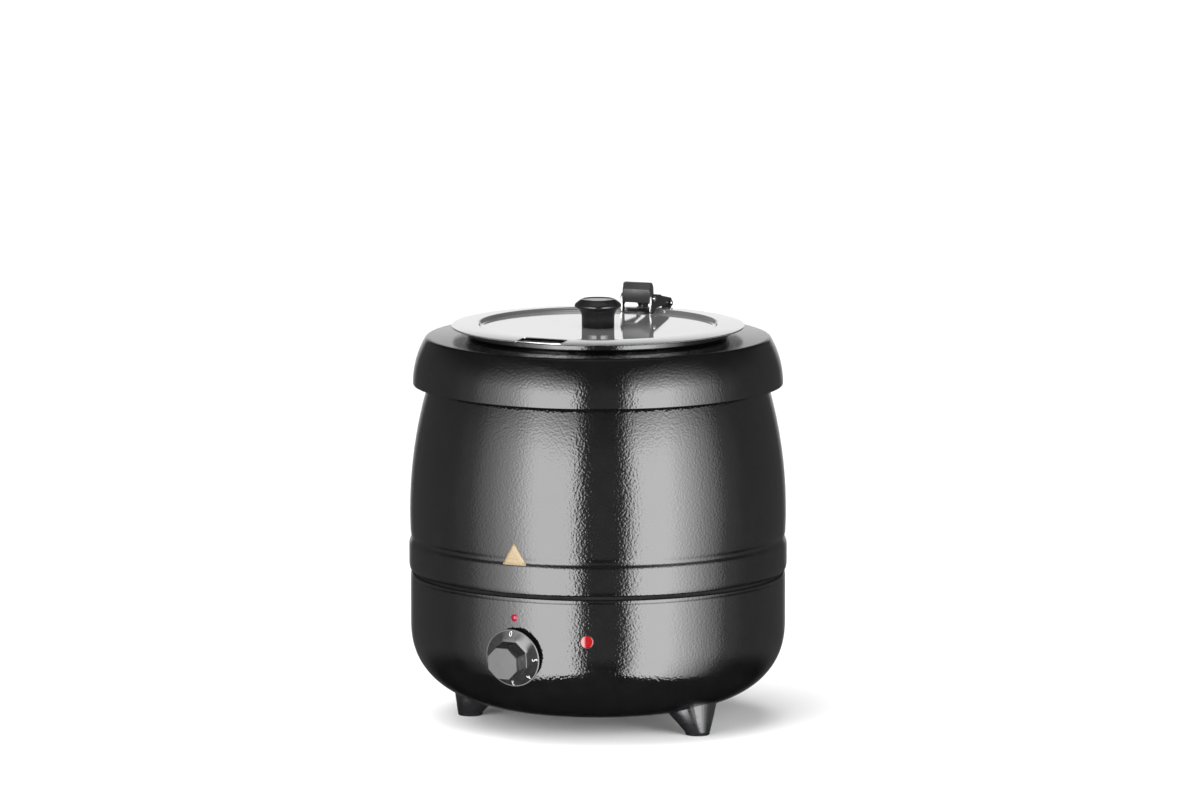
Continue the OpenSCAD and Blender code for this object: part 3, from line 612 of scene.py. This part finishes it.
def mirror_steel():
    """Polished pressed steel, with a faint trace of turning."""
    material, tree, shader = new_material("polished_steel", grey(0.7), 0.82, 0.05)
    where = coordinates(tree)
    uneven_gloss(tree, shader, noise(tree, where, 18, 4), 0.03, 0.075)
    two_tone(tree, shader, noise(tree, where, 9, 3), grey(0.67), grey(0.73))
    rings = tree.nodes.new("ShaderNodeTexWave")
    rings.wave_type = "RINGS"
    rings.rings_direction = "Z"
    rings.inputs["Scale"].default_value = 300
    rings.inputs["Distortion"].default_value = 1.5
    tree.links.new(where, rings.inputs["Vector"])
    bump(tree, shader, rings.outputs["Fac"], 0.0012 * MM)
    return material


def spun_steel():
    """Spun stainless: fine lines round the axis."""
    material, tree, shader = new_material("satin_steel", (0.62, 0.62, 0.61), 1, 0.26)
    lines = noise(tree, coordinates(tree, (1, 1, 60)), 55, 3, 0.6)
    uneven_gloss(tree, shader, lines, 0.2, 0.34)
    clouds = noise(tree, coordinates(tree), 20, 4)
    two_tone(tree, shader, clouds, (0.57, 0.57, 0.56), (0.67, 0.67, 0.66))
    bump(tree, shader, lines, 0.006 * MM)
    return material


def phenolic():
    """Glossy moulded phenolic."""
    material, tree, shader = new_material("phenolic_black", grey(0.008), 0, 0.1)
    where = coordinates(tree)
    uneven_gloss(tree, shader, noise(tree, where, 90, 4), 0.07, 0.16)
    two_tone(tree, shader, noise(tree, where, 150, 3), grey(0.006), grey(0.011))
    bump(tree, shader, noise(tree, where, 260, 2), 0.008 * MM)
    return material


def painted_bracket():
    """Black paint on the sheet's faces and bare metal on its cut edges, by the way that they face."""
    paint, metal = grey(0.01), (0.6, 0.6, 0.58)
    cheeks_from = 13.55 * MM
    material, tree, shader = new_material("bracket_black", paint, 0, 0.2)
    where = tree.nodes.new("ShaderNodeTexCoord")
    facing = tree.nodes.new("ShaderNodeSeparateXYZ")
    place = tree.nodes.new("ShaderNodeSeparateXYZ")
    for source, target in (("Normal", facing), ("Object", place)):
        squared = tree.nodes.new("ShaderNodeMapping")
        squared.inputs["Rotation"].default_value = (0, 0, -POT_TURN)
        tree.links.new(where.outputs[source], squared.inputs["Vector"])
        tree.links.new(squared.outputs["Vector"], target.inputs["Vector"])
    sideways = maths(tree, "ABSOLUTE", facing.outputs["X"])
    off_centre = maths(tree, "ABSOLUTE", place.outputs["X"])
    is_edge = maths(tree, "LESS_THAN", sideways, 0.5)
    in_cheek = maths(tree, "GREATER_THAN", off_centre, cheeks_from)
    bare = maths(tree, "MULTIPLY", is_edge, in_cheek)
    mix = tree.nodes.new("ShaderNodeMix")
    mix.data_type = "RGBA"
    mix.inputs["A"].default_value = (*paint, 1)
    mix.inputs["B"].default_value = (*metal, 1)
    tree.links.new(bare, mix.inputs["Factor"])
    tree.links.new(mix.outputs["Result"], shader.inputs["Base Color"])
    tree.links.new(bare, shader.inputs["Metallic"])
    grain = noise(tree, where.outputs["Object"], 240, 3)
    uneven_gloss(tree, shader, grain, 0.14, 0.26)
    bump(tree, shader, grain, 0.01 * MM)
    return material


def red_lens():
    """Dark red lens with a clear coat."""
    material, tree, shader = new_material("red_lens", (0.1, 0.001, 0.0015), 0, 0.06)
    where = coordinates(tree)
    dark, light = (0.09, 0.0008, 0.0012), (0.115, 0.0012, 0.0018)
    two_tone(tree, shader, noise(tree, where, 200, 2), dark, light)
    shader.inputs["Coat Weight"].default_value = 0.2
    shader.inputs["Coat Roughness"].default_value = 0.03
    bump(tree, shader, noise(tree, where, 500, 1), 0.01 * MM)
    return material


def insulation():
    """Brown and blue leads, told apart by where they run."""
    brown, blue = (0.16, 0.06, 0.03), (0.03, 0.09, 0.35)
    material, tree, shader = new_material("cable_insulation", (0.2, 0.08, 0.04), 0, 0.45)
    where = coordinates(tree)
    ramp = two_tone(tree, shader, noise(tree, where, 9, 0), brown, blue)
    ramp.interpolation = "CONSTANT"
    ramp.elements[0].position = 0
    ramp.elements[1].position = 0.5
    bump(tree, shader, noise(tree, where, 500, 2), 0.03 * MM)
    return material


def make_materials():
    made = {
        "hammertone_black": hammertone(),
        "polished_steel": mirror_steel(),
        "satin_steel": spun_steel(),
        "phenolic_black": phenolic(),
        "bracket_black": painted_bracket(),
        "red_lens": red_lens(),
        "cable_insulation": insulation(),
    }
    # Colour, roughness, metallic, how fine the grain is, its depth in mm, unevenness and, if not 0.5, gloss
    finishes = {
        "satin_black": ((0.005, 0.005, 0.0055), 0.26, 0, 430, 0.06, 0.15),
        "lever_grey": ((0.025, 0.025, 0.026), 0.34, 0, 700, 0.03, 0.15),
        "aluminium": ((0.7, 0.71, 0.72), 0.38, 1, 300, 0.02, 0.06),
        "element_sheath": ((0.2, 0.18, 0.16), 0.5, 1, 350, 0.03, 0.25),
        "zinc_steel": ((0.55, 0.55, 0.52), 0.33, 1, 500, 0.02, 0.08),
        "bright_steel": ((0.75, 0.75, 0.74), 0.14, 1, 300, 0.004, 0.04),
        # rubber_black is dark rubber, made near-black and almost without gloss. On the seam ring it is also
        # painted shade: it stands in for the shadow down in the seam groove round the barrel.
        "rubber_black": (grey(0.003), 0.7, 0, 900, 0.05, 0.15, 0.08),
        "cream_plastic": ((0.62, 0.56, 0.42), 0.45, 0, 600, 0.03, 0.05),
        "copper": ((0.65, 0.3, 0.17), 0.3, 1, 400, 0.01, 0.12),
        "black_plastic": (grey(0.014), 0.36, 0, 800, 0.04, 0.15),
        "brass": ((0.7, 0.5, 0.2), 0.28, 1, 400, 0.01, 0.08),
        "red_dot": ((0.13, 0.001, 0.011), 0.3, 0, 500, 0.02, 0.12),
        "amber_film": ((0.14, 0.102, 0.052), 0.4, 0, 700, 0.02, 0.03),
        "dial_print": ((0.5, 0.5, 0.49), 0.5, 0, 900, 0.01, 0.04),
    }
    for name, look in finishes.items():
        made[name] = plain(name, *look)
    return made


def finish_cad_nodes():
    """Gives each carried-over node its finish, and softens its edges with modifiers."""
    weld_gap = 0.002 * MM
    # Widths of the softened edges, in mm
    softened = {
        "release_lever": 0.5, "foot_left": 0.8, "foot_right": 0.8, "foot_rear": 0.8,
        "foot_pads": 0.4, "lid_bracket": 0.2, "hinge_clamp": 0.3, "thermostat": 0.6, "terminal_block": 0.5,
    }
    for name, node in NODES.items():
        node.data.materials.clear()
        node.data.materials.append(MATERIALS[SLOT_OF[name]])
        weld = node.modifiers.new("weld", "WELD")
        weld.merge_threshold = weld_gap
        smooth(node.data, 30)
        if name in softened:
            edge = node.modifiers.new("soft_edge", "BEVEL")
            edge.width = softened[name] * MM
            edge.segments = 3
            edge.limit_method = "ANGLE"
            edge.angle_limit = math.radians(32)


# ---- Studio ----

VIEW_AZ = math.radians(26)
CAMERA_AWAY = 8.0
CAMERA_UP = 1.4522
AIM_UP = 0.2952
AIM_RIGHT = 0.0018
LENS = 266.0
SENSOR = 36.0
PANEL_AWAY = 1.2
PANEL_LOW = -1.1
PANEL_HIGH = 1.35
# A place on the kettle's side, from which a softbox's rows are measured
BODY_R = 0.17
BODY_MIDDLE = 0.3


def around(azimuth, distance, height):
    """A place round the kettle; the azimuth is measured from the camera's, to the right, in degrees."""
    a = VIEW_AZ + math.radians(azimuth)
    return Vector((distance * math.sin(a), -distance * math.cos(a), height))


def aim(place, target):
    """The rotation that turns a camera or a lamp at a place towards its target."""
    return (target - place).to_track_quat("-Z", "Y").to_euler()


def make_camera():
    data = bpy.data.cameras.new("camera")
    data.lens = LENS
    data.sensor_width = SENSOR
    data.clip_start = 0.1
    data.clip_end = 200
    camera = add("camera", data)
    right = Vector((math.cos(VIEW_AZ), math.sin(VIEW_AZ), 0))
    camera.location = around(0, CAMERA_AWAY, CAMERA_UP) + right * AIM_RIGHT
    camera.rotation_euler = aim(camera.location, Vector((0, 0, AIM_UP)) + right * AIM_RIGHT)
    bpy.context.scene.camera = camera


def ramp_of(tree, value, stops):
    """A straight-line curve through (place, level) stops, as a colour ramp read as a number."""
    ramp = tree.nodes.new("ShaderNodeValToRGB")
    marks = ramp.color_ramp.elements
    while len(marks) < len(stops):
        marks.new(0.5)
    for mark, (place, level) in zip(marks, stops):
        mark.position = place
        mark.color = (*grey(level), 1)
    tree.links.new(value, ramp.inputs["Fac"])
    return ramp.outputs["Color"]


def make_softbox(name, centre, half, brightness, across, upward):
    """An upright soft light facing the kettle. Its centre and half its width are in degrees.

    Its brightness follows two lists of (degrees, share) stops, as the kettle sees it.
    """
    reach = math.tan(math.radians(half))
    tall = PANEL_HIGH - PANEL_LOW
    data = bpy.data.lights.new(name, "AREA")
    data.shape = "RECTANGLE"
    data.size = 2 * PANEL_AWAY * reach
    data.size_y = tall
    data.energy = brightness * math.pi * data.size * data.size_y
    data.use_nodes = True
    tree = data.node_tree
    glow = next(node for node in tree.nodes if node.type == "EMISSION")
    spot = tree.nodes.new("ShaderNodeNewGeometry")
    split = tree.nodes.new("ShaderNodeSeparateXYZ")
    tree.links.new(spot.outputs["Parametric"], split.inputs["Vector"])
    columns = []
    for turn, share in across:
        columns.append((0.5 + math.tan(math.radians(turn - centre)) / (2 * reach), share))
    rows = []
    for rise, share in upward:
        height = BODY_MIDDLE + (PANEL_AWAY - BODY_R) * math.tan(math.radians(rise))
        rows.append(((height - PANEL_LOW) / tall, share))
    sides = ramp_of(tree, split.outputs["X"], sorted(columns))
    heights = ramp_of(tree, split.outputs["Y"], rows)
    tree.links.new(maths(tree, "MULTIPLY", sides, heights), glow.inputs["Strength"])
    lamp = add(name, data)
    lamp.location = around(centre, PANEL_AWAY, (PANEL_LOW + PANEL_HIGH) / 2)
    lamp.rotation_euler = aim(lamp.location, Vector((0, 0, lamp.location.z)))
    lamp.visible_camera = False
    return lamp


def keep_off(lamp, piece):
    """Stops the lamp from lighting the piece: a mirror that stands open would bleach to white."""
    skipped = bpy.data.collections.new(lamp.name + "_skips")
    skipped.objects.link(piece)
    for entry in skipped.collection_objects:
        entry.light_linking.link_state = "EXCLUDE"
    lamp.light_linking.receiver_collection = skipped


def make_sun(strength, spread_angle):
    """An even light from above, which whitens the floor and leaves a soft shadow."""
    data = bpy.data.lights.new("overhead", "SUN")
    data.energy = strength
    data.angle = math.radians(spread_angle)
    lamp = add("overhead", data)
    lamp.location = around(-70, 1.0, 3)
    lamp.rotation_euler = aim(lamp.location, Vector((0, 0, 0)))
    lamp.visible_glossy = False
    lamp.visible_camera = False


def make_lights(mirror):
    fade = [(-48, 1), (0, 1), (12, 1), (23, 0.45), (34, 0.12), (45, 0)]
    left = [(-95, 0), (-79, 0.03), (-64, 0.2), (-50, 0.45), (-38, 1), (-14.5, 1), (-8.5, 0)]
    right = [(15, 0), (23, 1), (42, 1), (50, 0.72), (64, 0.3), (79, 0.03), (95, 0)]
    half = 43
    keep_off(make_softbox("left_softbox", -52, half, 10.8, left, fade), mirror)
    keep_off(make_softbox("right_softbox", 53, half, 11.5, right, fade), mirror)
    make_sun(3.9, 70)


def make_floor():
    half = 60
    corners = [(-half, -half, 0), (half, -half, 0), (half, half, 0), (-half, half, 0)]
    floor = add("floor", new_mesh("floor", corners, [(0, 1, 2, 3)]))
    material, tree, shader = new_material("studio_floor", grey(0.86), 0, 0.9)
    two_tone(tree, shader, noise(tree, coordinates(tree), 2, 2), grey(0.85), grey(0.87))
    shader.inputs["Specular IOR Level"].default_value = 0.0
    floor.data.materials.append(material)
    floor.visible_glossy = False
    floor.visible_shadow = False


def make_world():
    """A dim studio, brightest behind the kettle, where the view has a white wall."""
    wall_level = 0.84
    room_front, room_back = 0.7, 0.25
    ceiling_level = 0.3
    world = bpy.data.worlds.new("studio")
    world.use_nodes = True
    tree = world.node_tree
    background = tree.nodes["Background"]
    where = tree.nodes.new("ShaderNodeTexCoord")
    turn = tree.nodes.new("ShaderNodeVectorMath")
    turn.operation = "DOT_PRODUCT"
    turn.inputs[1].default_value = around(180, 1, 0).normalized()
    tree.links.new(where.outputs["Generated"], turn.inputs[0])
    split = tree.nodes.new("ShaderNodeSeparateXYZ")
    tree.links.new(where.outputs["Generated"], split.inputs["Vector"])
    backwards = turn.outputs["Value"]
    up = split.outputs["Z"]

    wall = maths(tree, "MULTIPLY", spread(tree, backwards, 0, 1, 0.93, 0.985),
                 spread(tree, up, 0, 1, -0.22, -0.02))
    wall = maths(tree, "MULTIPLY", wall, wall_level)
    rising = spread(tree, up, 0, 0.4, -0.45, -0.3)
    falling = spread(tree, up, 1, 0.25, 0.2, 0.45)
    aside = spread(tree, backwards, room_front, room_back, 0.1, 0.93)
    room = maths(tree, "MULTIPLY", maths(tree, "MULTIPLY", rising, falling), aside)
    ceiling = spread(tree, up, 0, ceiling_level, 0.88, 0.96)
    total = maths(tree, "ADD", maths(tree, "ADD", wall, room), ceiling)
    background.inputs["Color"].default_value = (1, 1, 1, 1)
    tree.links.new(total, background.inputs["Strength"])
    bpy.context.scene.world = world


# ---- Build ----

make_camera()
MATERIALS = make_materials()
finish_cad_nodes()
make_base_pan()
make_barrel()
make_top_ring()
make_pot()
make_tank()
lid_piece = make_lid()
make_lid_knob()
make_dial()
make_digits()
make_world()
make_lights(lid_piece)
make_floor()
bpy.context.scene.view_settings.view_transform = "Standard"
